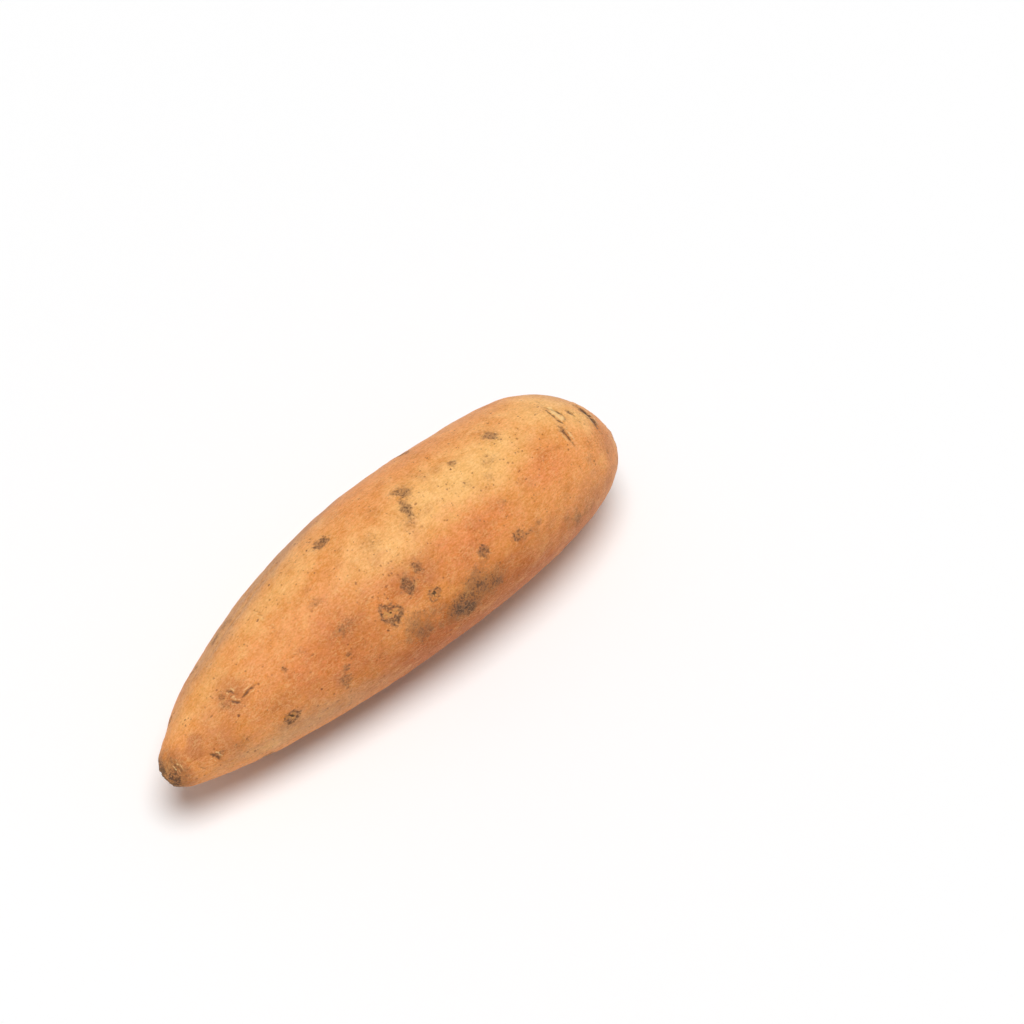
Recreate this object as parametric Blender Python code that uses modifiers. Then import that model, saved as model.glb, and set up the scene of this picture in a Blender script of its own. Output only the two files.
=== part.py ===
"""A whole sweet potato, lying on its belly: one storage root, grown as one piece.

Metres, +Z up. The root lies along X, with its tapered tip at -X and its blunt
stem end at +X. The origin is on the surface that it rests on, under the middle
of its bounding box.
"""

import math
from collections import namedtuple

import bmesh
import bpy
from mathutils import Vector

# Driving dimensions.
LENGTH = 0.200
HALF_WIDTH = 0.0295
HEIGHT_SHARE = 0.95
REST_DEPTH = 0.0007

# The cage that Subdivision Surface rounds off.
CAGE_SIDES = 12
CAGE_LEVELS = 2
# A subdivided ring of n sides draws in to this share of its cage's radius.
RING_SHRINK = (4 + 2 * math.cos(2 * math.pi / CAGE_SIDES)) / 6

# The shallow lobes that run along the root and the fuller shoulder on its back
# upper side. Depths are shares of the ring's radius.
LOBES = 3
LOBE_DEPTH = 0.016
LOBE_TWIST = 1.4 * math.pi
SHOULDER_DEPTH = 0.020
SHOULDER_TURN = math.radians(120)

# One ring of the cage. "along" is a share of LENGTH from the tip, and the rest
# are shares of HALF_WIDTH: the ring's own half width, how far its centre sits
# towards +Y, and how high its underside is above the lowest ring's.
Section = namedtuple("Section", "along girth side belly")
SECTIONS = (
    Section(0.006, 0.15, 0.00, 0.680),
    Section(0.030, 0.25, 0.02, 0.560),
    Section(0.075, 0.37, 0.05, 0.430),
    Section(0.130, 0.54, 0.10, 0.280),
    Section(0.205, 0.71, 0.14, 0.150),
    Section(0.300, 0.85, 0.15, 0.060),
    Section(0.405, 0.97, 0.13, 0.015),
    Section(0.520, 1.03, 0.10, 0.000),
    Section(0.635, 1.02, 0.03, 0.010),
    Section(0.750, 0.98, -0.01, 0.045),
    Section(0.855, 0.90, -0.03, 0.110),
    Section(0.935, 0.69, -0.06, 0.240),
    Section(0.985, 0.36, -0.12, 0.430),
)
# The cage's end points: x is a share of LENGTH, y and z of HALF_WIDTH.
TIP_CENTRE = Vector((-0.002, 0.00, 0.83))
STEM_CENTRE = Vector((1.004, -0.14, 0.74))

# The slab that takes the resting spot off the belly.
SLAB_LENGTH = 1.2 * LENGTH
SLAB_WIDTH = 3 * HALF_WIDTH
SLAB_THICKNESS = 0.010

SKIN_COLOUR = (0.62, 0.29, 0.10, 1.0)
SKIN_ROUGHNESS = 0.62


def clear_scene():
    for obj in list(bpy.data.objects):
        bpy.data.objects.remove(obj, do_unlink=True)


def new_collection(name):
    collection = bpy.data.collections.new(name)
    bpy.context.scene.collection.children.link(collection)
    return collection


def skin_material():
    material = bpy.data.materials.new("sweet_potato_skin")
    material.use_nodes = True
    shader = material.node_tree.nodes["Principled BSDF"]
    shader.inputs["Base Color"].default_value = SKIN_COLOUR
    shader.inputs["Roughness"].default_value = SKIN_ROUGHNESS
    shader.inputs["Metallic"].default_value = 0.0
    material.diffuse_color = SKIN_COLOUR
    return material


def lobing(turn, along):
    """How far the skin stands out at an angle round the root, as a share."""
    lobes = LOBE_DEPTH * math.cos(LOBES * turn + LOBE_TWIST * along)
    shoulder = SHOULDER_DEPTH * math.cos(turn - SHOULDER_TURN)
    fade_at_ends = math.sin(math.pi * along)
    return 1 + (lobes + shoulder) * fade_at_ends


def ring_point(section, turn):
    """A cage vertex: "turn" is its angle round X, from +Y towards +Z."""
    radius = section.girth * HALF_WIDTH / RING_SHRINK * lobing(turn, section.along)
    centre_height = (section.belly + section.girth * HEIGHT_SHARE) * HALF_WIDTH
    return Vector((
        section.along * LENGTH,
        section.side * HALF_WIDTH + radius * math.cos(turn),
        centre_height + radius * HEIGHT_SHARE * math.sin(turn),
    ))


def end_point(centre):
    return Vector((centre.x * LENGTH, centre.y * HALF_WIDTH, centre.z * HALF_WIDTH))


def cage_mesh():
    """A sphere's rings, moved to the root's sections, and its poles to the ends."""
    steps = len(SECTIONS) + 1
    cage = bmesh.new()
    bmesh.ops.create_uvsphere(cage, u_segments=CAGE_SIDES, v_segments=steps, radius=1.0)
    for vertex in cage.verts:
        polar_angle = math.acos(max(-1.0, min(1.0, -vertex.co.z)))
        step = round(polar_angle / math.pi * steps)
        if step == 0:
            vertex.co = end_point(TIP_CENTRE)
        elif step == steps:
            vertex.co = end_point(STEM_CENTRE)
        else:
            turn = math.atan2(vertex.co.y, vertex.co.x)
            vertex.co = ring_point(SECTIONS[step - 1], turn)
    mesh = bpy.data.meshes.new("sweet_potato")
    cage.to_mesh(mesh)
    cage.free()
    mesh.shade_smooth()
    return mesh


def evaluated_box(obj):
    """Lowest and highest corner of the object with its modifiers applied."""
    bpy.context.view_layer.update()
    evaluated = obj.evaluated_get(bpy.context.evaluated_depsgraph_get())
    mesh = evaluated.to_mesh()
    corners = [
        Vector(limit(vertex.co[axis] for vertex in mesh.vertices) for axis in range(3))
        for limit in (min, max)
    ]
    evaluated.to_mesh_clear()
    return corners


def lay_on_floor(obj):
    """Centres the root over the origin, with its belly REST_DEPTH too low."""
    lowest, highest = evaluated_box(obj)
    middle = (lowest + highest) / 2
    shift = Vector((-middle.x, -middle.y, -lowest.z - REST_DEPTH))
    for vertex in obj.data.vertices:
        vertex.co += shift


def rest_cutter(collection):
    """The slab whose top, at the floor, takes the resting spot off the belly."""
    bpy.ops.mesh.primitive_cube_add(size=1.0, location=(0, 0, -SLAB_THICKNESS / 2))
    cutter = bpy.context.object
    cutter.name = "floor_slab"
    cutter.scale = (SLAB_LENGTH, SLAB_WIDTH, SLAB_THICKNESS)
    bpy.context.collection.objects.unlink(cutter)
    collection.objects.link(cutter)
    cutter.hide_render = True
    cutter.display_type = "WIRE"
    return cutter


def build_root(collection, cutters):
    root = bpy.data.objects.new("sweet_potato", cage_mesh())
    collection.objects.link(root)
    root.data.materials.append(skin_material())

    rounding = root.modifiers.new("rounding", "SUBSURF")
    rounding.levels = CAGE_LEVELS
    rounding.render_levels = CAGE_LEVELS
    lay_on_floor(root)

    resting_spot = root.modifiers.new("resting_spot", "BOOLEAN")
    resting_spot.operation = "DIFFERENCE"
    resting_spot.solver = "EXACT"
    resting_spot.object = rest_cutter(cutters)


def main():
    clear_scene()
    build_root(new_collection("sweet_potato"), new_collection("cutters"))


main()
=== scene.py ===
"""The finish of one whole sweet potato: its skin, root scars and corky ends, in a studio.

Metres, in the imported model's frame: the root lies along X, with its tapered tip at -X
and its blunt stem end at +X, and rests on the floor at Z = 0. A place on the skin is
given as a share of the way from tip to stem end, and a turn in degrees round the
root's core, from +Y towards +Z: 0 is its far side, 90 its top, 180 its near side.
"""

import logging
import math
import random
from collections.abc import Iterable, Iterator
from dataclasses import dataclass
from enum import Enum
from typing import Any

import bpy
import numpy as np
from mathutils import Euler, Matrix, Vector, noise
from mathutils.bvhtree import BVHTree


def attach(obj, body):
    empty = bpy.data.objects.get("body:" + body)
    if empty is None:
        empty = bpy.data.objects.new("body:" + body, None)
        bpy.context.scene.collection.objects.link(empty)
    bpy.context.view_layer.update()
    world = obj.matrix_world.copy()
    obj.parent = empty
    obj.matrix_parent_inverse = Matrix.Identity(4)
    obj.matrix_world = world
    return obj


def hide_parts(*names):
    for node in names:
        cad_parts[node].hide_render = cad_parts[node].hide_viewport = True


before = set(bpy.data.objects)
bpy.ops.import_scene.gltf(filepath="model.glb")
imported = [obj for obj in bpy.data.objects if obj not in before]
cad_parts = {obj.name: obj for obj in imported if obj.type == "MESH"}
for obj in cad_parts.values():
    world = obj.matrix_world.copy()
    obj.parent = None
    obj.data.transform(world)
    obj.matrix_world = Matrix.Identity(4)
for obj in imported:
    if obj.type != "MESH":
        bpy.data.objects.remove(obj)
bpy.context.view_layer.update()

MM = 0.001
NOISE_FADE, NOISE_RATIO = 0.7, 2.0
Array = np.ndarray
Socket = bpy.types.NodeSocket
Pair = tuple[float, float]
Colour = tuple[float, float, float, float]
log = logging.getLogger("sweet_potato")


def paint(red: int, green: int, blue: int) -> Colour:
    """Turns a paint chart's colour into the linear colour that shaders take.

    Args:
        red: Amount of red, from 0 to 255.
        green: Amount of green, from 0 to 255.
        blue: Amount of blue, from 0 to 255.

    Returns:
        The opaque linear colour.
    """
    shares = (value / 255 for value in (red, green, blue))
    linear = (s / 12.92 if s <= 0.04045 else ((s + 0.055) / 1.055) ** 2.4 for s in shares)
    return (*linear, 1.0)


def step_up(low: float, high: float, values: Array) -> Array:
    """Rises smoothly from 0 at low to 1 at high.

    Args:
        low: The value up to which it is 0.
        high: The value from which it is 1. Below low, the step falls instead.
        values: The values to map.

    Returns:
        An array of the same shape.
    """
    share = np.clip((values - low) / (high - low), 0, 1)
    return share * share * (3 - 2 * share)


def bell(values: Array, middle: float, width: float) -> Array:
    """Rises smoothly to 1 at middle and falls to about a third at width from it."""
    return np.exp(-(((values - middle) / width) ** 2))


def lumps(
    points: Array, size: float, octaves: int = 1, stretch: float = 1, shift: float = 0
) -> Array:
    """Smooth random values, about -1 to 1, at points in space.

    Args:
        points: Places, as an array whose last axis holds x, y and z.
        size: The distance over which the values change.
        octaves: How many layers, each half the size of the one before, are added.
        stretch: How many times longer the lumps are along x.
        shift: A number that picks another part of the endless pattern.

    Returns:
        An array with one value for each point.
    """
    scaled = points / (size * np.array([stretch, 1, 1])) + shift
    rows = scaled.reshape(-1, 3).tolist()
    values = [noise.fractal(row, NOISE_FADE, NOISE_RATIO, octaves) for row in rows]
    return np.array(values).reshape(points.shape[:-1])


class Tint(Enum):
    """The hues that the skin drifts between, and its painted shade, by the name of their point attribute.
    """

    BLUSH = "blush"
    # Gold is the skin's own yellow tone; its patches along the top are also a painted highlight.
    GOLD_AND_HIGHLIGHT = "gold_and_highlight"
    DULL = "dull"
    # Painted shade: a darker, stronger orange-brown on the low near side and underside, in place of shade
    # and orange bounce light.
    PAINTED_SHADE = "painted_shade"
    DUST = "dust"
    SOIL = "soil"


@dataclass(frozen=True)
class Patch:
    """A soft patch of skin with a tint of its own, or a swelling.

    Lengths are in metres: length along the root and width round it, to the place
    where the patch has faded to about a third. strength is a tint's, about 0 to 1,
    or a swelling's height in metres, which is negative for a hollow.
    """

    along: float
    turn: float
    length: float
    width: float
    strength: float


@dataclass(frozen=True)
class MarkStyle:
    """How one kind of mark looks.

    ring to pit, peel and halo are strengths from 0 to 1, and dish, lip and pit_depth
    heights in metres. An edge, from outside to inside, or a bell's middle and width
    is given as shares of the mark's radius.
    """

    ring: float
    fill: float
    core: float
    pit: float
    dish: float
    lip: float
    peel: float = 0.0
    halo: float = 0.30
    pit_depth: float = 0.25 * MM
    ring_bell: Pair = (0.62, 0.30)
    lip_bell: Pair = (1.0, 0.24)
    dish_bell: Pair = (0.0, 0.6)
    fill_edge: Pair = (1.05, 0.45)
    halo_edge: Pair = (1.7, 0.8)
    core_edge: Pair = (0.46, 0.16)
    pit_edge: Pair = (0.24, 0.06)
    peel_edge: Pair = (0.95, 0.75)


class MarkKind(Enum):
    """The kinds of mark that lie on the skin."""

    ROOT_SCAR = MarkStyle(1.0, 0.50, 0.9, 1.0, 0.50 * MM, 0.14 * MM)
    DARK_SCAR = MarkStyle(0.8, 1.0, 0.30, 0.6, 0.35 * MM, 0.08 * MM)
    GREY_PATCH = MarkStyle(0.6, 0.80, 0.1, 0.0, 0.12 * MM, 0.05 * MM)
    FAINT_PATCH = MarkStyle(0.30, 0.42, 0.0, 0.0, 0.06 * MM, 0.0)
    PEEL = MarkStyle(0.0, 0.0, 0.0, 0.0, 0.18 * MM, 0.12 * MM, peel=1.0, halo=0.0)


@dataclass(frozen=True)
class Mark:
    """One mark: its kind, its place, its radius in metres and its shape.

    stretch is its length along the root over its width round it, and tilt turns it
    in degrees, from along the root towards a larger turn.
    """

    kind: MarkKind
    along: float
    turn: float
    radius: float
    stretch: float = 1.0
    strength: float = 1.0
    tilt: float = 0.0


@dataclass(frozen=True)
class Crease:
    """A line in the skin through places given as (along, turn) pairs.

    width and depth are in metres; lip is the height of the edge beside it, and a
    lip is also painted pale as a highlight. smudge is how strongly the skin beside it
    is stained, from 0 to 1.
    """

    course: tuple[Pair, ...]
    width: float
    depth: float
    darkness: float
    lip: float
    smudge: float


@dataclass
class SkinGrid:
    """The skin as a grid of points: rows from tip to stem end, columns round the root.

    Column 0 runs along the belly. The first and last row are each one point, repeated.
    """

    points: Array
    tip: Array
    stem: Array

    BELLY_TURN = -90.0
    BORDER = 0.003

    def __post_init__(self) -> None:
        """Counts the grid's rows and columns."""
        self.rows, self.columns = self.points.shape[:2]

    @classmethod
    def cast(cls, node: bpy.types.Object, rows: int, columns: int) -> "SkinGrid":
        """Takes an even grid off a solid.

        Rays leave the root's core: along it in its middle stretch, and fanning out
        from that stretch's two ends.

        Args:
            node: The solid, whose mesh is in the model's frame.
            rows: How many rows the grid has.
            columns: How many columns it has, an even number.

        Returns:
            The grid, still with the solid's facets.
        """
        vertices = [vertex.co for vertex in node.data.vertices]
        faces = [tuple(face.vertices) for face in node.data.polygons]
        solid = BVHTree.FromPolygons(vertices, faces)
        tip = min(vertices, key=lambda place: place.x).copy()
        stem = max(vertices, key=lambda place: place.x).copy()

        tip_reach, stem_reach = 9 * MM, 22 * MM
        quarter = math.pi / 2
        core_start = tip + Vector((tip_reach, 0, 0))
        core_end = stem - Vector((stem_reach, 0, 0))
        straight = (core_end - core_start).length
        to_straight = quarter * tip_reach
        to_stem = to_straight + straight
        travels = np.linspace(0, to_stem + quarter * stem_reach, rows + rows // 5)
        swings = np.clip(travels / tip_reach, 0, quarter)
        swings += np.clip((travels - to_stem) / stem_reach, 0, quarter)
        shares = np.clip((travels - to_straight) / straight, 0, 1)
        meridians = []
        for turn in np.radians(cls.BELLY_TURN + 360 * np.arange(columns) / columns):
            outward = Vector((0, math.cos(turn), math.sin(turn)))
            hits = []
            for swing, share in zip(swings, shares):
                ray = outward * math.sin(swing) - Vector((math.cos(swing), 0, 0))
                hits.append(solid.ray_cast(core_start.lerp(core_end, share), ray)[0])
            meridians.append(cls.evenly_spaced(np.array(hits), rows))
        grid = cls(np.stack(meridians, axis=1), np.array(tip), np.array(stem))
        grid.points[0] = grid.points[0].mean(axis=0)
        grid.points[-1] = grid.points[-1].mean(axis=0)
        return grid

    @staticmethod
    def evenly_spaced(line: Array, count: int) -> Array:
        """Puts points at even distances along a line.

        Args:
            line: The line's own points, in order.
            count: How many points to return, the two ends among them.

        Returns:
            The new points.
        """
        steps = np.linalg.norm(np.diff(line, axis=0), axis=1)
        travelled = np.concatenate([[0], np.cumsum(steps)])
        wanted = np.linspace(0, travelled[-1], count)
        return np.stack([np.interp(wanted, travelled, line[:, axis]) for axis in range(3)], axis=1)

    @property
    def along(self) -> Array:
        """Each point's share of the way from the tip to the stem end."""
        return (self.points[..., 0] - self.tip[0]) / (self.stem[0] - self.tip[0])

    @property
    def turns(self) -> Array:
        """Each column's turn in degrees."""
        return self.BELLY_TURN + 360 * np.arange(self.columns) / self.columns

    def blurred(self, values: Array, passes: int) -> Array:
        """Averages values on the grid with their neighbours', across both ends.

        Args:
            values: One value or vector for each point.
            passes: How many times each is averaged with its neighbours.

        Returns:
            The blurred values.
        """
        across = self.columns // 2
        for _ in range(passes):
            past_tip = np.roll(values[1], across, axis=0)[None]
            past_stem = np.roll(values[-2], across, axis=0)[None]
            padded = np.concatenate([past_tip, values, past_stem])
            values = (padded[:-2] + 2 * values + padded[2:]) / 4
            values = (np.roll(values, 1, axis=1) + 2 * values + np.roll(values, -1, axis=1)) / 4
            values[0] = values[0].mean(axis=0)
            values[-1] = values[-1].mean(axis=0)
        return values

    def smooth_facets(self, passes: int) -> None:
        """Takes the solid's facets off the grid and keeps its size.

        Args:
            passes: How many times each point is averaged with its neighbours.
        """
        blurred = self.blurred(self.points, passes)
        self.points = blurred + self.blurred(self.points - blurred, passes)

    def normals(self) -> Array:
        """The outward direction at each point.

        Returns:
            Unit vectors, in the grid's order.
        """
        lengthwise = np.gradient(self.points, axis=0)
        sideways = np.roll(self.points, -1, axis=1) - np.roll(self.points, 1, axis=1)
        outward = np.cross(sideways, lengthwise)
        outward[0] = outward[1].mean(axis=0)
        outward[-1] = outward[-2].mean(axis=0)
        return outward / np.linalg.norm(outward, axis=-1, keepdims=True)

    def spot(self, along: float, turn: float) -> tuple[int, int]:
        """Finds the grid's point nearest to a place on the skin.

        Args:
            along: The place's share of the way from tip to stem end.
            turn: Its turn in degrees.

        Returns:
            The point's row and column.
        """
        column = round((turn - self.BELLY_TURN) / 360 * self.columns) % self.columns
        row = int(np.argmin(np.abs(self.along[:, column] - along)))
        return row, column

    def mesh(self, name: str, attributes: dict[str, Array]) -> bpy.types.Mesh:
        """Builds the closed mesh, with its bake map and point attributes.

        Args:
            name: The mesh's name.
            attributes: Values for the grid's points, by attribute name.

        Returns:
            The new mesh, shaded smooth.
        """
        inner = np.arange((self.rows - 2) * self.columns).reshape(-1, self.columns) + 1
        beside = np.roll(inner, -1, axis=1)
        tip, stem = 0 * inner[0], 0 * inner[0] + inner[-1, -1] + 1
        quads = np.stack([inner[:-1], beside[:-1], beside[1:], inner[1:]], axis=-1)
        faces = quads.reshape(-1, 4).tolist()
        faces += np.stack([tip, beside[0], inner[0]], axis=-1).tolist()
        faces += np.stack([stem, inner[-1], beside[-1]], axis=-1).tolist()
        made = bpy.data.meshes.new(name)
        made.from_pydata(self.flat(self.points).tolist(), [], faces)
        made.shade_smooth()
        for attribute, values in attributes.items():
            layer = made.attributes.new(attribute, "FLOAT", "POINT")
            layer.data.foreach_set("value", self.flat(values).astype(np.float32))
        layer = made.uv_layers.new(name="OFBake")
        layer.data.foreach_set("uv", self.unrolled().ravel().astype(np.float32))
        return made

    def flat(self, values: Array) -> Array:
        """Values in the mesh's order: the tip, the inner rows, the stem end."""
        inner = values[1:-1].reshape(-1, *values.shape[2:])
        return np.concatenate([values[:1, 0], inner, values[-1:, 0]])

    def unrolled(self) -> Array:
        """Unrolls the skin onto a full square, cut along the belly.

        Returns:
            The place in the square of each face's corners, in the mesh's order.
        """
        last = self.rows - 1
        row, column = np.mgrid[1 : last - 1, : self.columns]
        quads = [row, column, row, column + 1, row + 1, column + 1, row + 1, column]
        start, level = np.arange(self.columns), np.ones(self.columns)
        tip_fan = [0 * level, start + 0.5, level, start + 1, level, start]
        beside_stem = (last - 1) * level
        stem_fan = [last * level, start + 0.5, beside_stem, start, beside_stem, start + 1]
        corners = [np.stack(part, axis=-1).reshape(-1, 2) for part in (quads, tip_fan, stem_fan)]
        return self.BORDER + (1 - 2 * self.BORDER) * np.concatenate(corners) / (last, self.columns)


@dataclass
class SkinRelief:
    """The marks, lines and lumps of the skin, as heights and masks on its grid."""

    grid: SkinGrid
    broad_lumps: float = 0.44 * MM
    wrinkles: float = 0.20 * MM
    dimples: float = 0.030 * MM
    furrows: float = 0.22 * MM
    mark_lumps: float = 0.52
    mark_wobble: float = 0.16
    line_wobble: float = 0.45
    # Painted highlight: how strongly the lips beside lines are painted pale.
    painted_lip_highlight: float = 0.64

    MASK_NAMES = ("scar", "core", "pit", "peel", "cork", "line")
    LINE_STEPS = 24
    LINE_WINDOW = 9

    def __post_init__(self) -> None:
        """Starts with a plain skin and reads the grid's directions once."""
        shape = self.grid.points.shape[:2]
        self.height = np.zeros(shape)
        names = [*self.MASK_NAMES, *(tint.value for tint in Tint)]
        self.masks = {name: np.zeros(shape) for name in names}
        self.normals = self.grid.normals()
        self.wobble = lumps(self.grid.points, 1.6 * MM, octaves=3)
        self.drift = lumps(self.grid.points, 5 * MM, octaves=2, shift=7.0)

    def raise_mask(self, name: str, where: Any, values: Array) -> None:
        """Raises a mask at some of the grid's points to values where they are higher."""
        self.masks[name][where] = np.maximum(self.masks[name][where], values)

    def farness(self, patch: Patch) -> Array:
        """How far each point is from a patch's centre.

        Args:
            patch: The patch.

        Returns:
            The squared distances, as shares of the patch's length and width.
        """
        grid = self.grid
        centre = grid.points[grid.spot(patch.along, patch.turn)]
        core = grid.tip + (grid.stem - grid.tip) * patch.along
        reach = np.linalg.norm(centre - core)
        apart = (grid.turns - patch.turn + 180) % 360 - 180
        round_way = np.radians(apart)[None] * reach / patch.width
        long_way = (grid.points[..., 0] - centre[0]) / patch.length
        return round_way**2 + long_way**2

    def swell(self, patch: Patch) -> None:
        """Raises the skin by a swelling."""
        self.height += patch.strength * np.exp(-self.farness(patch))

    def tint(self, tint: Tint, patch: Patch) -> None:
        """Adds a patch of a tint, with ragged edges."""
        farness = self.farness(patch) * (1 + 0.35 * self.drift)
        self.raise_mask(tint.value, ..., patch.strength * np.exp(-farness))

    def press(self, mark: Mark) -> None:
        """Presses a mark into the skin.

        Args:
            mark: The mark.
        """
        spot = self.grid.spot(mark.along, mark.turn)
        centre, outward = self.grid.points[spot], self.normals[spot]
        lengthwise = np.array([1.0, 0, 0]) - outward[0] * outward
        lengthwise /= np.linalg.norm(lengthwise)
        sideways = np.cross(lengthwise, outward)
        tilt = math.radians(mark.tilt)
        first = math.cos(tilt) * lengthwise + math.sin(tilt) * sideways
        second = math.cos(tilt) * sideways - math.sin(tilt) * lengthwise

        span = math.sqrt(mark.stretch)
        offset = self.grid.points - centre
        reach = 2 * mark.radius * max(span, 1 / span)
        near = (np.linalg.norm(offset, axis=-1) < reach) & (self.normals @ outward > 0)
        offset = offset[near]
        radius = np.hypot(offset @ first / (mark.radius * span), offset @ second * span / mark.radius)
        own_shape = lumps(offset / mark.radius, 0.6, octaves=3, shift=mark.along * 90)
        radius += self.mark_lumps * own_shape + self.mark_wobble * self.wobble[near]

        style = mark.kind.value
        core = style.core * step_up(*style.core_edge, radius)
        ring = style.ring * bell(radius, *style.ring_bell)
        fill = style.fill * step_up(*style.fill_edge, radius)
        halo = style.halo * step_up(*style.halo_edge, radius)
        stain = np.maximum.reduce([ring, fill, halo]) * (1 - core)
        pit = style.pit * step_up(*style.pit_edge, radius)
        peel = style.peel * step_up(*style.peel_edge, radius)
        for name, values in (("scar", stain), ("core", core), ("pit", pit), ("peel", peel)):
            self.raise_mask(name, near, mark.strength * values)
        dish = style.dish * bell(radius, *style.dish_bell)
        lip = style.lip * bell(radius, *style.lip_bell)
        self.height[near] += mark.strength * (lip - dish - style.pit_depth * pit)

    def score(self, crease: Crease) -> None:
        """Scores a line into the skin.

        Args:
            crease: The line.
        """
        places = np.array(crease.course)
        share = np.linspace(0, len(places) - 1, self.LINE_STEPS * len(places))
        way = [np.interp(share, np.arange(len(places)), part) for part in places.T]
        course = np.array([self.grid.points[self.grid.spot(*place)] for place in zip(*way)])
        window = np.ones(self.LINE_WINDOW) / self.LINE_WINDOW
        half = self.LINE_WINDOW // 2
        padded = np.pad(course, ((half, half), (0, 0)), mode="edge")
        course = np.stack([np.convolve(part, window, "valid") for part in padded.T], axis=1)

        middle = course.mean(axis=0)
        reach = np.linalg.norm(course - middle, axis=1).max() + 4 * crease.width
        near = np.linalg.norm(self.grid.points - middle, axis=-1) < reach
        points = self.grid.points[near]
        gaps = np.linalg.norm(points[:, None] - course[None], axis=-1)
        nearest = share[gaps.argmin(axis=1)] / share[-1]
        taper = np.sin(math.pi * np.clip(nearest, 0.04, 0.96)) ** 0.35
        width = crease.width * (0.35 + 0.65 * taper) * (1 + self.line_wobble * self.wobble[near])
        across = gaps.min(axis=1) / np.maximum(width, 0.2 * MM)
        line = taper * bell(across, 0, 1)
        broken = 0.50 + 0.50 * step_up(-0.35, 0.20, lumps(points, 1.1 * MM, octaves=2, shift=37.0))
        self.raise_mask("line", near, crease.darkness * line * broken)
        smudge = crease.smudge * taper * bell(across, 0, 2.6)
        self.raise_mask("scar", near, smudge * broken)
        lip = taper * bell(across, 1.8, 1)
        # Painted highlight: the raised lips beside the line are painted pale flesh through the peel mask.
        if crease.lip:
            self.raise_mask("peel", near, self.painted_lip_highlight * lip * (1 - line))
        self.height[near] += crease.lip * lip - crease.depth * line

    def ruffle(self) -> None:
        """Adds the root's own unevenness: broad lumps, wrinkles and furrowed ends."""
        points, along = self.grid.points, self.grid.along
        self.height += self.broad_lumps * lumps(points, 24 * MM, stretch=1.5, shift=3.0)
        self.height += self.wrinkles * lumps(points, 7 * MM, octaves=2, stretch=1.4, shift=11.0)
        self.height += self.dimples * lumps(points, 2.2 * MM, octaves=2, shift=19.0)

        folds = 1 - 2 * np.abs(lumps(points, 3.0 * MM, octaves=2, stretch=7, shift=23.0))
        folds = np.clip(folds, 0, 1)
        ends = np.maximum(step_up(0.10, 0.01, along), step_up(0.92, 0.99, along))
        dusty = np.clip(self.masks[Tint.DUST.value], 0, 1)
        self.height -= self.furrows * folds**2 * (0.12 + ends + 0.9 * dusty)
        self.raise_mask("line", ..., 0.22 * folds**6 * (0.5 * ends + dusty))

    def cork(
        self, end: Array, reach: float, roughness: float, ring: float = 0, stub: float = 0
    ) -> None:
        """Roughens an end where the root broke from its plant or its tail.

        Args:
            end: The end's point on the core.
            reach: How far the cork spreads from the end, in metres.
            roughness: The height of its fibres, in metres.
            ring: The depth of the hollow ring inside its rim, in metres.
            stub: How far its middle stands out, or is sunk where negative, in metres.
        """
        offset = self.grid.points - end
        gap = np.linalg.norm(offset, axis=-1)
        spokes = lumps(offset / np.maximum(gap, MM)[..., None], 0.24, octaves=2, shift=31.0)
        fibres = lumps(self.grid.points, 0.9 * MM, octaves=3, shift=29.0)
        away = gap / reach + 0.16 * self.wobble + 0.24 * self.drift + 0.10 * spokes
        cork = step_up(1.25, 0.75, away)
        speckled_edge = 0.45 * step_up(1.9, 1.1, away)
        self.raise_mask("cork", ..., np.maximum(cork, speckled_edge))

        rim = bell(away, 1.05, 0.20)
        hollow = bell(away, 0.66, 0.19)
        stump = step_up(0.55, 0.34, away)
        if stub > 0:
            # Painted shade, partly the cork's own dark ring: the hollow inside the rim is darkened
            # through the pit mask.
            self.raise_mask("pit", ..., 0.75 * hollow)
            self.raise_mask("core", ..., 0.62 * stump)
        radiating = 0.35 * spokes * step_up(1.9, 0.9, away)
        self.height += roughness * (cork * fibres + radiating + 0.8 * rim)
        self.height += stub * stump * (1 + 0.7 * fibres) - ring * hollow * (1 + 0.4 * spokes)

    def settled_points(self) -> Array:
        """The grid's points moved out by their heights, with none below the floor."""
        points = self.grid.points + self.normals * self.height[..., None]
        return np.maximum(points, (-np.inf, -np.inf, 0))


class Field:
    """A number that varies over a surface: a socket with the arithmetic of Math nodes."""

    def __init__(self, bench: "ShaderBench", socket: Socket) -> None:
        """Wraps an output socket of a node on the bench."""
        self.bench = bench
        self.socket = socket

    def __add__(self, other: "Field | float") -> "Field":
        """Adds a number or another field."""
        return self.bench.maths("ADD", self, other)

    __radd__ = __add__

    def __sub__(self, other: "Field | float") -> "Field":
        """Subtracts a number or another field."""
        return self.bench.maths("SUBTRACT", self, other)

    def __rsub__(self, other: float) -> "Field":
        """Subtracts the field from a number."""
        return self.bench.maths("SUBTRACT", other, self)

    def __mul__(self, other: "Field | float") -> "Field":
        """Multiplies by a number or another field."""
        return self.bench.maths("MULTIPLY", self, other)

    __rmul__ = __mul__

    def __abs__(self) -> "Field":
        """The size without the sign."""
        return self.bench.maths("ABSOLUTE", self)

    def at_least(self, other: "Field | float") -> "Field":
        """The larger of the two."""
        return self.bench.maths("MAXIMUM", self, other)

    def step(self, low: float, high: float) -> "Field":
        """Rises smoothly from 0 at low to 1 at high.

        Args:
            low: The value up to which it is 0.
            high: The value from which it is 1. Below low, the step falls instead.

        Returns:
            The values from 0 to 1.
        """
        sockets = {"Value": self, "From Min": low, "From Max": high}
        node = self.bench.node("ShaderNodeMapRange", {"interpolation_type": "SMOOTHSTEP"}, sockets)
        return Field(self.bench, node.outputs["Result"])


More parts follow.
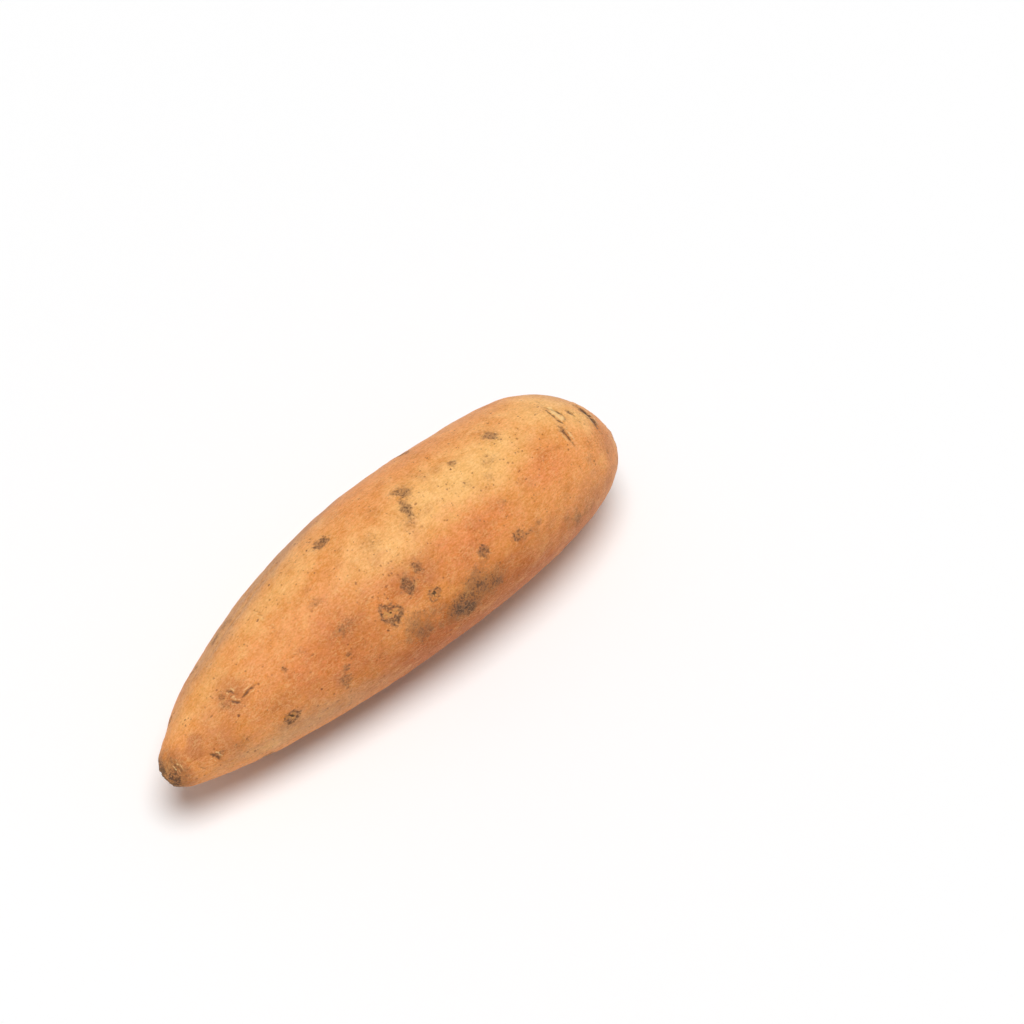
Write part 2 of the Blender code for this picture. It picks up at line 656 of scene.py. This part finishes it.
class ShaderBench:
    """A material's node tree, with the few ways in which its nodes are made."""

    def __init__(self, name: str) -> None:
        """Starts a material with its Principled shader.

        Args:
            name: The material's name.
        """
        self.material = bpy.data.materials.new(name)
        self.material.use_nodes = True
        self.tree = self.material.node_tree
        self.shader = self.tree.nodes["Principled BSDF"]

    def node(self, kind: str, settings: Any = None, sockets: Any = None) -> bpy.types.Node:
        """Adds a node.

        Args:
            kind: The node's type.
            settings: Its properties by name, which are set first.
            sockets: A value, field or socket by the name or number of the input.

        Returns:
            The new node.
        """
        made = self.tree.nodes.new(kind)
        for name, value in (settings or {}).items():
            setattr(made, name, value)
        for name, value in (sockets or {}).items():
            self.feed(made.inputs[name], value)
        return made

    def feed(self, socket: Socket, value: Any) -> None:
        """Links a field or socket to an input, or sets its value.

        Args:
            socket: The input.
            value: The field, socket or plain value.
        """
        source = value.socket if isinstance(value, Field) else value
        if isinstance(source, Socket):
            self.tree.links.new(source, socket)
        else:
            socket.default_value = source

    def surface(self, inputs: dict[str, Any]) -> None:
        """Feeds the Principled shader's inputs, by name."""
        for name, value in inputs.items():
            self.feed(self.shader.inputs[name], value)

    def maths(self, operation: str, *values: "Field | float") -> Field:
        """Adds a Math node.

        Args:
            operation: What the node does.
            values: Its inputs, in order.

        Returns:
            Its result.
        """
        sockets = dict(enumerate(values))
        made = self.node("ShaderNodeMath", {"operation": operation}, sockets)
        return Field(self, made.outputs[0])

    def scaled(self, vector: Socket, by: tuple[float, float, float]) -> Socket:
        """A vector with each part multiplied by its own number."""
        sockets = {0: vector, 1: by}
        return self.node("ShaderNodeVectorMath", {"operation": "MULTIPLY"}, sockets).outputs[0]

    def grain(
        self, place: Socket, size: float, detail: float = 2, roughness: float = 0.5, distortion: float = 0
    ) -> Field:
        """Cloudy random values from 0 to 1.

        Args:
            place: Where on the surface, in millimetres.
            size: The size of the clouds, in millimetres.
            detail: How many finer layers are added.
            roughness: How strong the finer layers are.
            distortion: How much the clouds are swirled.

        Returns:
            The values.
        """
        sockets = {"Vector": place, "Scale": 1 / size, "Detail": detail}
        sockets |= {"Roughness": roughness, "Distortion": distortion}
        return Field(self, self.node("ShaderNodeTexNoise", sockets=sockets).outputs[0])

    def dots(self, place: Socket, size: float, radius: float, ragged: Field) -> Field:
        """Scattered dots of mixed sizes.

        Args:
            place: Where on the surface, in millimetres.
            size: The distance between neighbouring dots, in millimetres.
            radius: The largest dot's radius, as a share of size.
            ragged: Cloudy values, about 0.5, that break up the dots' edges.

        Returns:
            1 inside a dot and 0 outside.
        """
        sockets = {"Vector": place, "Scale": 1 / size}
        cells = self.node("ShaderNodeTexVoronoi", {"feature": "F1"}, sockets)
        chance = self.node("ShaderNodeSeparateColor", sockets={0: cells.outputs["Color"]})
        share = Field(self, chance.outputs[0])
        closeness = share * share * radius * (2.4 * ragged - 0.2) - Field(self, cells.outputs["Distance"])
        return closeness.step(-0.25 * radius, 0.25 * radius)

    def point(self, name: str) -> Field:
        """A value that the mesh carries at its points."""
        made = self.node("ShaderNodeAttribute", {"attribute_name": name})
        return Field(self, made.outputs["Fac"])

    def coated(self, colour: Any, coats: Iterable[tuple[Field, Colour]]) -> Any:
        """Lays coats over a colour.

        Args:
            colour: The colour underneath.
            coats: Each coat's share, from 0 to 1, and its colour, in order.

        Returns:
            The socket that gives the colour on top.
        """
        settings = {"data_type": "RGBA", "blend_type": "MIX", "clamp_factor": True}
        for share, coat in coats:
            sockets = {0: share, 6: colour, 7: coat}
            colour = self.node("ShaderNodeMix", settings, sockets).outputs[2]
        return colour

    def shaded(self, colour: Any, brightness: Field, strength: Field) -> Any:
        """A colour with its brightness and its strength multiplied by fields."""
        sockets = {"Value": brightness, "Saturation": strength, "Color": colour}
        return self.node("ShaderNodeHueSaturation", sockets=sockets).outputs[0]

    def bump(self, height: Field, strength: float) -> Socket:
        """A normal that follows a height given in millimetres."""
        sockets = {"Strength": strength, "Distance": MM, "Height": height}
        return self.node("ShaderNodeBump", sockets=sockets).outputs["Normal"]


@dataclass(frozen=True)
class SkinFinish:
    """Dry orange-tan skin with thin pale fibres, brown pores and grey-brown scars."""

    tan: Colour = paint(227, 146, 78)
    # Yellow skin tone, also used as a painted highlight along the top.
    gold_and_highlight: Colour = paint(243, 186, 112)
    blush: Colour = paint(220, 124, 68)
    dull: Colour = paint(176, 102, 52)
    # Painted shade: the colour laid on the low near side and underside for shade and orange bounce light.
    painted_shade: Colour = paint(176, 84, 8)
    dust: Colour = paint(190, 142, 98)
    soil: Colour = paint(146, 106, 66)
    fibre: Colour = paint(252, 206, 138)
    pore: Colour = paint(124, 68, 36)
    scar: Colour = paint(136, 95, 63)
    scar_dark: Colour = paint(76, 54, 38)
    scar_pale: Colour = paint(190, 150, 108)
    core: Colour = paint(206, 148, 84)
    flesh: Colour = paint(246, 204, 140)
    cork: Colour = paint(150, 110, 68)
    cork_dark: Colour = paint(58, 42, 28)
    roughness: float = 0.56
    gloss: float = 0.24
    down: float = 0.04

    def material(self) -> bpy.types.Material:
        """Builds the skin's material.

        Returns:
            The material, which reads the skin's point attributes.
        """
        bench = ShaderBench("sweet_potato_skin")
        per_metre = 1 / MM
        point = bench.node("ShaderNodeTexCoord").outputs["Object"]
        place = bench.scaled(point, (per_metre, per_metre, per_metre))
        lengthwise = bench.scaled(place, (0.55, 1.0, 1.0))
        mottle = bench.grain(place, 5.5, detail=4.0, roughness=0.62)
        crackle = bench.grain(place, 0.75, detail=2.0, roughness=0.75, distortion=0.4)
        fine = bench.grain(lengthwise, 0.62, detail=1.5, roughness=0.6)
        grit = bench.grain(place, 0.34, detail=1.0, roughness=0.6)
        worn = bench.grain(bench.scaled(place, (0.6, 1.0, -1.0)), 9.0, detail=4.0, roughness=0.65)
        net = bench.grain(bench.scaled(place, (0.38, 1.0, 1.0)), 1.0, detail=2.0, roughness=0.6)
        fibres = abs(net - 0.5).step(0.05, 0.0125) * bench.grain(place, 4.0).step(0.30, 0.62)
        pores = bench.dots(lengthwise, 2.4, 0.17, grit) * bench.grain(place, 9.0).step(0.42, 0.62)
        specks = bench.dots(place, 5.2, 0.085, grit)
        clusters = (bench.grain(place, 6.0) + 0.12 * bench.point("gold_and_highlight")).step(0.47, 0.64)
        dusting = bench.dots(place, 1.2, 0.34, grit) * clusters

        worn_through, worn_clean = worn.step(0.52, 0.70) * 0.34, worn.step(0.46, 0.30) * 0.30
        colour = self.skin_colour(bench, place, mottle)
        colour = bench.coated(colour, ((worn_through, self.dull), (worn_clean, self.gold_and_highlight)))
        brightness = 0.28 + 0.38 * mottle + 0.56 * fine + 0.20 * net + 0.30 * grit
        colour = bench.shaded(colour, brightness, 1.14 - 0.16 * fine - 0.12 * mottle)
        pale_threads = (fibres * 0.24).at_least(grit.step(0.60, 0.78) * 0.30)
        dark_dots = (pores * 0.7).at_least(specks * 0.85).at_least(dusting * 0.6)
        colour = bench.coated(colour, ((pale_threads, self.fibre), (dark_dots, self.pore)))
        colour, damage = self.marked(bench, colour, mottle, crackle)
        rough = self.roughness + 0.16 * (mottle - 0.5) + 0.20 * damage - 0.05 * fibres
        height = 0.10 * fine + 0.05 * net + 0.06 * grit + 0.03 * fibres - 0.10 * pores - 0.14 * specks
        height = height + damage * (0.34 * crackle) - 0.12 * bench.point("line")
        bench.surface({
            "Base Color": colour,
            "Roughness": rough,
            "Normal": bench.bump(height, 0.9),
            "Specular IOR Level": self.gloss,
            "Sheen Weight": self.down,
            "Sheen Roughness": 0.5,
        })
        return bench.material

    def skin_colour(self, bench: ShaderBench, place: Any, mottle: Field) -> Any:
        """The sound skin's drifting hues, with painted shade on its low near side and a painted highlight
        along its top.

        Args:
            bench: The material's bench.
            place: Where on the surface, in millimetres.
            mottle: Cloudy values that break up the edges of the patches.

        Returns:
            The colour.
        """
        broad = bench.grain(place, 24.0, detail=3.0)
        other = bench.grain(bench.scaled(place, (-1.0, 1.0, -1.0)), 17.0, detail=3.0)
        ragged = 0.7 * (mottle - 0.5)
        # Gold patches, which along the top are a painted highlight.
        gold_and_highlight = (bench.point("gold_and_highlight") + 0.9 * (broad - 0.5) + ragged).step(-0.05, 1.05)
        blush = (bench.point("blush") + 1.1 * (other - 0.5) + ragged).step(0.10, 0.90)
        dull = (bench.point("dull") + 0.8 * (0.5 - broad) + ragged).step(0.15, 0.95)
        # Painted shade on the low near side and underside.
        painted_shade = (bench.point("painted_shade") + 0.6 * ragged).step(0.0, 1.0)
        dust = (bench.point("dust") + ragged).step(0.15, 0.95)
        coats = (
            (gold_and_highlight * 0.9, self.gold_and_highlight),
            (blush * 0.65, self.blush),
            (dull * 0.75, self.dull),
            (painted_shade * 0.88, self.painted_shade),
            (dust * 0.6, self.dust),
        )
        return bench.coated(self.tan, coats)

    def marked(self, bench: ShaderBench, colour: Any, mottle: Field, crackle: Field) -> tuple[Any, Field]:
        """Lays the marks over the sound skin.

        Args:
            bench: The material's bench.
            colour: The sound skin's colour.
            mottle: Cloudy values, several millimetres across.
            crackle: Cloudy values, under a millimetre across.

        Returns:
            The colour with its marks, and how damaged the skin is, from 0 to 1.
        """
        scar, soil, line = (bench.point(name) for name in ("scar", "soil", "line"))
        uneven, patches = 1.5 * (crackle - 0.5), 1.8 * (mottle - 0.5)
        soiled, scarred = soil.step(0.05, 0.4), scar.step(0.05, 0.3)
        ragged = 0.25 * patches

        grimy = (soil + patches + 0.4 * uneven).step(0.45, 1.0) * soiled
        grit = (0.8 * soil + patches + 1.2 * uneven).step(0.85, 1.15) * soiled
        veil = (scar + 0.6 * uneven + ragged).step(0.08, 0.95)
        flecks = (0.70 * scar + 1.2 * uneven + ragged).step(0.42, 0.95) * scarred
        flakes = (0.5 * scar - 1.5 * uneven).step(0.55, 0.80) * scar.step(0.1, 0.4)
        corky = (bench.point("cork") + 0.5 * uneven).step(0.3, 0.7)
        core = (bench.point("core") + 0.5 * uneven).step(0.3, 0.7)
        peel = (bench.point("peel") + 0.3 * uneven).step(0.35, 0.65)
        pit = (bench.point("pit") + 0.3 * uneven).step(0.3, 0.7)
        coats = (
            (grimy * 0.46, self.soil),
            (grit * 0.82, self.scar_dark),
            (veil * 0.68, self.scar),
            (flakes * 0.5, self.scar_pale),
            (flecks * 0.80, self.scar_dark),
            (corky * 0.85, self.cork),
            (corky * crackle.step(0.60, 0.72) * 0.5, self.core),
            (corky * crackle.step(0.48, 0.36) * 0.9, self.cork_dark),
            (core * 0.85, self.core),
            # Pale flesh on peeled skin, and as a painted highlight on the lips beside the lines.
            (peel * 0.7, self.flesh),
            # Dark pits of scars, and in the stem end's hollow partly painted shade.
            (pit * 0.9, self.scar_dark),
            ((line + 0.35 * uneven * line).step(0.12, 0.85) * 0.78, self.scar_dark),
        )
        return bench.coated(colour, coats), veil.at_least(grimy).at_least(corky).at_least(core)


@dataclass
class SweetPotato:
    """The whole root: one closed skin, shaped over its solid and finished as skin."""

    node_name: str = "sweet_potato"
    rows: int = 350
    columns: int = 280
    facet_passes: int = 30
    tip_cork: float = 4.4 * MM
    tip_cork_shift: Vector = Vector((0.3 * MM, 1.2 * MM, -3.9 * MM))
    stem_cork: float = 6.5 * MM
    seed: int = 11
    hidden_lines: int = 5
    marks_per_line: int = 9
    finish: SkinFinish = SkinFinish()

    def swellings(self) -> tuple[Patch, ...]:
        """The shoulder beside the tip, and the tip's blunt end.

        Returns:
            The swellings.
        """
        return (
            Patch(0.105, 25, 13 * MM, 11 * MM, 1.4 * MM),
            Patch(0.000, 90, 3 * MM, 60 * MM, -0.8 * MM),
        )

    def tints(self) -> Iterator[tuple[Tint, Patch]]:
        """The soft patches of tint, among them painted shade and a painted highlight.

        The table gives each one's place, its length and width in millimetres, and
        its strength.

        Returns:
            Each patch, after its tint.
        """
        table = {
            # Gold: the patches along the top, at turns of about 75 to 100, are a painted highlight as
            # well as yellow skin.
            Tint.GOLD_AND_HIGHLIGHT: (
                (0.66, 92, 40, 12, 0.9), (0.47, 98, 20, 14, 0.6), (0.58, 165, 16, 9, 0.9),
                (0.86, 80, 18, 14, 0.8), (0.12, 75, 10, 5, 0.35), (0.5, 330, 34, 16, 0.7),
                (0.915, 98, 6, 6, 0.9), (0.13, 58, 14, 6, 0.6), (0.32, 60, 26, 10, 0.6),
            ),
            Tint.BLUSH: (
                (0.6, 121, 28, 9, 0.8), (0.78, 117, 14, 8, 0.7), (0.44, 118, 22, 9, 0.8),
                (0.3, 126, 28, 12, 0.75), (0.72, 10, 26, 14, 0.8), (0.34, 290, 24, 12, 0.7),
            ),
            Tint.DULL: (
                (0.22, 140, 30, 12, 0.6), (0.065, 97, 3, 3, 1), (0.055, 116, 4, 4, 1),
                (0.02, 120, 5, 14, 0.9), (0.145, 94, 7, 7, 0.8), (0.33, 121, 26, 10, 0.65),
                (0.46, 118, 18, 9, 0.75), (0.93, 128, 8, 8, 0.6), (0.84, 160, 20, 10, 0.6),
                (0.42, 38, 40, 7, 0.7), (0.1, 130, 20, 12, 0.6),
            ),
            # Painted shade: patches along the low near side and underside, darker and more saturated as
            # if in shade with orange bounce light.
            Tint.PAINTED_SHADE: (
                (0.56, 178, 46, 16, 1.4), (0.36, 160, 22, 9, 0.6), (0.8, 182, 24, 9, 0.8),
                (0.55, 250, 60, 20, 0.8),
            ),
            Tint.DUST: (
                (0.22, 180, 34, 7, 0.9), (0.28, 36, 40, 8, 1.3), (0.93, 60, 10, 14, 0.6),
                (0.86, 140, 12, 9, 0.3), (0.62, 222, 40, 10, 0.6),
            ),
            Tint.SOIL: (
                (0.55, 153, 17, 8, 1.25), (0.445, 148, 11, 7, 0.9), (0.69, 141, 11, 4, 0.7),
                (0.8, 160, 14, 7, 0.7), (0.335, 116, 6, 4, 0.7), (0.015, 110, 5, 12, 0.9),
                (0.005, 300, 4, 16, 1.4), (0.3, 225, 30, 10, 0.8), (0.7, 265, 26, 12, 0.8),
                (0.45, 330, 22, 8, 0.7), (0.97, 200, 8, 20, 0.7),
            ),
        }
        for tint, rows in table.items():
            for along, turn, length, width, strength in rows:
                yield tint, Patch(along, turn, length * MM, width * MM, strength)

    def shown_marks(self) -> Iterator[Mark]:
        """The marks on the near and upper sides.

        The table gives each one's kind, place and radius in millimetres, and where
        they aren't 1, 1 and 0 its stretch, strength and tilt.

        Returns:
            The marks.
        """
        root, dark, grey = MarkKind.ROOT_SCAR, MarkKind.DARK_SCAR, MarkKind.GREY_PATCH
        faint, peel = MarkKind.FAINT_PATCH, MarkKind.PEEL
        table = (
            (grey, 0.075, 20, 1.6, 1.6, 0.9), (grey, 0.155, 28, 1.6, 1.6, 0.9),
            (grey, 0.21, 33, 2, 2, 0.9), (grey, 0.08, 152, 1.7, 1.3, 0.8), (faint, 0.12, 153, 2.4, 1.3),
            (root, 0.135, 84, 1.2, 0.9, 0.65), (faint, 0.13, 95, 1.7, 1.3),
            (peel, 0.145, 98, 1, 0.8, 0.4), (root, 0.205, 157, 2.7, 1.2, 1, 10),
            (faint, 0.19, 163, 2.6, 2, 1, 30), (dark, 0.23, 111, 1.1, 0.9, 0.8),
            (peel, 0.265, 67, 0.9, 0.7, 0.5), (faint, 0.265, 108, 1.6, 1.6, 0.9, 20),
            (grey, 0.305, 154, 2.8, 0.8, 0.8), (grey, 0.31, 143, 1.5, 0.6, 0.8),
            (dark, 0.325, 134, 1.1, 1, 0.8), (faint, 0.33, 90, 1.9), (faint, 0.34, 116, 2.6, 1.3),
            (root, 0.415, 129, 4.2, 1.1, 1, 20), (dark, 0.415, 65, 2.9, 1.5, 1, 15),
            (faint, 0.44, 142, 3.2, 1.3), (grey, 0.45, 157, 3.8, 1.2, 0.9), (faint, 0.46, 88, 2.9),
            (dark, 0.46, 120, 3.2, 0.9, 0.9), (grey, 0.49, 114, 2.3, 0.8),
            (root, 0.49, 135, 2.8, 0.9, 0.85, -30), (faint, 0.53, 91, 3, 0.8, 0.9),
            (dark, 0.535, 159, 4.4, 1.6, 1, 25), (grey, 0.545, 86, 3.2, 0.6, 1, 20),
            (grey, 0.565, 77, 3.6), (faint, 0.56, 144, 4), (grey, 0.575, 153, 2.6, 0.5, 0.8, 20),
            (dark, 0.6, 132, 2.4, 0.9, 0.95), (faint, 0.595, 138, 2.2, 1.3, 0.9),
            (grey, 0.61, 157, 2.2, 1.2, 0.7, 20), (grey, 0.665, 81, 2, 1, 0.9), (faint, 0.655, 97, 1.8),
            (dark, 0.67, 137, 2.5, 1.1, 0.85), (faint, 0.68, 117, 1.9, 1.2), (faint, 0.69, 100, 1.9, 1.2),
            (faint, 0.71, 92, 2.6, 1.5), (grey, 0.755, 80, 3.2, 0.9, 0.9, 30),
            (grey, 0.8, 159, 2.8, 0.6, 0.8), (faint, 0.87, 130, 2.2, 1, 0.9),
            (peel, 0.88, 90, 2.4, 0.42, 0.9), (grey, 0.86, 101, 2, 0.6, 0.9),
            (dark, 0.905, 93, 1.6, 0.8, 0.8), (grey, 0.94, 98, 3.2, 0.4), (dark, 0.925, 136, 1, 0.7, 0.8),
        )
        for kind, along, turn, radius, *shape in table:
            yield Mark(kind, along, turn, radius * MM, *shape)

    def creases(self) -> Iterator[Crease]:
        """The lines: folds by the scars, cracks at the stem end and long shallow folds.

        The table gives each one's course, its width and depth in millimetres, its
        darkness, the height of its lip in millimetres and its smudge.

        Returns:
            The lines.
        """
        table = (
            ((0.145, 80, 0.15, 88, 0.155, 97), 0.45, 0.2, 0.8, 0.08, 0),
            ((0.14, 94, 0.145, 102, 0.15, 106), 0.45, 0.24, 0.9, 0.14, 0),
            ((0.155, 103, 0.17, 102, 0.185, 103), 0.45, 0.26, 1, 0.16, 0),
            ((0.27, 56, 0.27, 62, 0.265, 71), 0.45, 0.2, 0.5, 0.12, 0),
            ((0.265, 74, 0.26, 84), 0.45, 0.16, 0.5, 0.06, 0),
            ((0.875, 82, 0.87, 92, 0.875, 102), 0.6, 0.25, 0.95, 0, 0.3),
            ((0.875, 81, 0.885, 86, 0.89, 94, 0.875, 100), 0.6, 0.28, 0.95, 0, 0.3),
            ((0.885, 70, 0.875, 82), 0.6, 0.15, 0.4, 0, 0.3),
            ((0.865, 99, 0.86, 106, 0.86, 116), 0.75, 0.26, 0.75, 0.1, 0.6),
            ((0.905, 90, 0.91, 98), 0.6, 0.2, 0.8, 0.06, 0.5),
            ((0.94, 86, 0.945, 99, 0.935, 118), 1, 0.36, 0.95, 0.12, 1),
            ((0.02, 75, 0.02, 107, 0.025, 166), 0.45, 0.24, 0.65, 0.06, 0),
            ((0.07, 141, 0.075, 150, 0.08, 166), 0.6, 0.32, 1, 0.1, 0.4),
            ((0.045, 152, 0.055, 170), 0.45, 0.15, 0.5, 0, 0),
            ((0.2, 94, 0.29, 117, 0.36, 128, 0.51, 137), 1.4, 0.2, 0.25, 0, 0),
            ((0.16, 40, 0.27, 44, 0.43, 47), 0.9, 0.26, 0.4, 0, 0),
            ((0.22, 28, 0.33, 33, 0.46, 36), 0.9, 0.26, 0.4, 0, 0),
            ((0.55, 350, 0.7, 340, 0.84, 345), 1.1, 0.2, 0.25, 0, 0),
            ((0.18, 300, 0.32, 310, 0.45, 305), 1.1, 0.2, 0.3, 0, 0),
            ((0.72, 225, 0.82, 232, 0.9, 228), 0.75, 0.24, 0.5, 0, 0.4),
        )
        for course, width, depth, darkness, lip, smudge in table:
            places = tuple(zip(course[::2], course[1::2]))
            yield Crease(places, width * MM, depth * MM, darkness, lip * MM, smudge)

    def hidden_marks(self) -> Iterator[Mark]:
        """Invents marks for the far and under sides, in rough lines along the root.

        Returns:
            The marks.
        """
        draw = random.Random(self.seed)
        kinds = (MarkKind.ROOT_SCAR, MarkKind.DARK_SCAR, MarkKind.GREY_PATCH)
        kinds += (MarkKind.FAINT_PATCH, MarkKind.FAINT_PATCH, MarkKind.GREY_PATCH)
        for line in range(self.hidden_lines):
            for step in range(self.marks_per_line):
                along = 0.12 + 0.78 * (step + draw.uniform(0.1, 0.9)) / self.marks_per_line
                turn = 195 + 215 * (line + draw.uniform(0.1, 0.9)) / self.hidden_lines
                radius = draw.uniform(1.3, 4.2) * MM
                stretch, tilt = draw.uniform(0.7, 1.6), draw.uniform(-30, 30)
                strength = draw.uniform(0.65, 1.0)
                yield Mark(draw.choice(kinds), along, turn, radius, stretch, strength, tilt)

    def build(self) -> bpy.types.Object:
        """Shapes the skin over the solid.

        Returns:
            The skin, as one closed mesh in the model's frame.
        """
        grid = SkinGrid.cast(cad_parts[self.node_name], self.rows, self.columns)
        grid.smooth_facets(self.facet_passes)
        relief = SkinRelief(grid)
        for tint, patch in self.tints():
            relief.tint(tint, patch)
        for patch in self.swellings():
            relief.swell(patch)
        relief.ruffle()
        for mark in (*self.shown_marks(), *self.hidden_marks()):
            relief.press(mark)
        for crease in self.creases():
            relief.score(crease)
        relief.cork(grid.tip + self.tip_cork_shift, self.tip_cork, 0.30 * MM, stub=-0.6 * MM)
        relief.cork(grid.stem, self.stem_cork, 0.45 * MM, ring=1.3 * MM, stub=0.8 * MM)
        grid.points = relief.settled_points()
        skin = bpy.data.objects.new("sweet_potato_skin", grid.mesh("sweet_potato_skin", relief.masks))
        bpy.context.scene.collection.objects.link(skin)
        return skin

    def dress(self, skin: bpy.types.Object) -> None:
        """Finishes the skin and puts it in the place of its solid.

        Args:
            skin: The skin.
        """
        skin.data.materials.append(self.finish.material())
        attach(skin, "root")
        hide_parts(self.node_name)


@dataclass
class Studio:
    """A plain pale floor that rises far off like a dish, soft light and the camera."""

    floor_radius: float = 3.8
    floor_rings: int = 48
    floor_spokes: int = 96
    level_radius: float = 1.2
    sweep: float = 0.12
    floor_colour: Colour = (0.92, 0.92, 0.92, 1.0)
    azimuth: float = -47.6
    elevation: float = 50.0
    distance: float = 0.918
    lens: float = 100.0
    sensor: float = 36.0
    aim_height: float = 27 * MM
    aim_in_frame: Pair = (-0.123, -0.0675)
    key_spread: float = 38.0
    key_strength: float = 2.5
    sky_strength: float = 0.27

    def view_turn(self) -> Matrix:
        """The camera's turn, whose columns are its right, up and backward directions."""
        tilt = math.radians(90 - self.elevation)
        return Euler((tilt, 0, math.radians(self.azimuth))).to_matrix()

    def build_camera(self) -> bpy.types.Object:
        """Makes the camera, with the root left of and below the picture's middle.

        Returns:
            The camera.
        """
        turned = self.view_turn()
        right, up, back = turned.col
        data = bpy.data.cameras.new("studio_camera")
        data.lens = self.lens
        data.sensor_width = self.sensor
        camera = bpy.data.objects.new("studio_camera", data)
        bpy.context.scene.collection.objects.link(camera)
        spread = self.distance * self.sensor / self.lens
        aim = Vector((0, 0, self.aim_height))
        across, upward = (share * spread for share in self.aim_in_frame)
        place = aim + back * self.distance - right * across - up * upward
        camera.matrix_world = Matrix.Translation(place) @ turned.to_4x4()
        bpy.context.scene.camera = camera
        return camera

    def build_floor(self) -> bpy.types.Object:
        """Makes the floor, a plain pale sheet that is level round the root.

        Returns:
            The floor.
        """
        rings, spokes = self.floor_rings, self.floor_spokes
        radii = np.linspace(self.floor_radius / rings, self.floor_radius, rings)[:, None]
        turns = np.linspace(0, 2 * math.pi, spokes, endpoint=False)[None]
        rise = self.sweep * np.maximum(radii - self.level_radius, 0) ** 2
        ways = (radii * np.cos(turns), radii * np.sin(turns), rise + 0 * turns)
        points = [(0.0, 0.0, 0.0), *np.stack(ways, axis=-1).reshape(-1, 3).tolist()]
        inner = np.arange(rings * spokes).reshape(rings, spokes) + 1
        beside = np.roll(inner, -1, axis=1)
        quads = np.stack([inner[:-1], inner[1:], beside[1:], beside[:-1]], axis=-1)
        faces = [(0, a, b) for a, b in zip(inner[0].tolist(), beside[0].tolist())]
        made = bpy.data.meshes.new("studio_floor")
        made.from_pydata(points, [], faces + quads.reshape(-1, 4).tolist())
        made.shade_smooth()
        floor = bpy.data.objects.new("studio_floor", made)
        bpy.context.scene.collection.objects.link(floor)
        bench = ShaderBench("pale_floor")
        bench.surface({"Base Color": self.floor_colour, "Roughness": 0.7, "Specular IOR Level": 0.2})
        made.materials.append(bench.material)
        return floor

    def build_light(self) -> bpy.types.Object:
        """Makes the key light, above and to the left of the camera, and a white sky.

        Returns:
            The key light.
        """
        right, up, back = self.view_turn().col
        towards = (back * 0.95 + up * 0.65 + right * 0.05).normalized()
        data = bpy.data.lights.new("key_light", "SUN")
        data.angle = math.radians(self.key_spread)
        data.energy = self.key_strength
        light = bpy.data.objects.new("key_light", data)
        light.rotation_mode = "QUATERNION"
        light.rotation_quaternion = towards.to_track_quat("Z", "Y")
        bpy.context.scene.collection.objects.link(light)

        world = bpy.data.worlds.new("white_sky")
        world.use_nodes = True
        sky = world.node_tree.nodes["Background"].inputs
        sky["Color"].default_value = (1.0, 1.0, 1.0, 1.0)
        sky["Strength"].default_value = self.sky_strength
        bpy.context.scene.world = world
        return light


def main() -> None:
    """Builds the studio and the root, and reports each piece."""
    logging.basicConfig(level=logging.INFO, format="%(name)s: %(message)s")
    studio = Studio()
    for piece in (studio.build_camera(), studio.build_floor(), studio.build_light()):
        log.info("studio: %s", piece.name)
    bpy.context.scene.view_settings.view_transform = "Standard"

    potato = SweetPotato()
    skin = potato.build()
    potato.dress(skin)
    log.info("%s: %d faces", skin.name, len(skin.data.polygons))


if __name__ == "__main__":
    main()
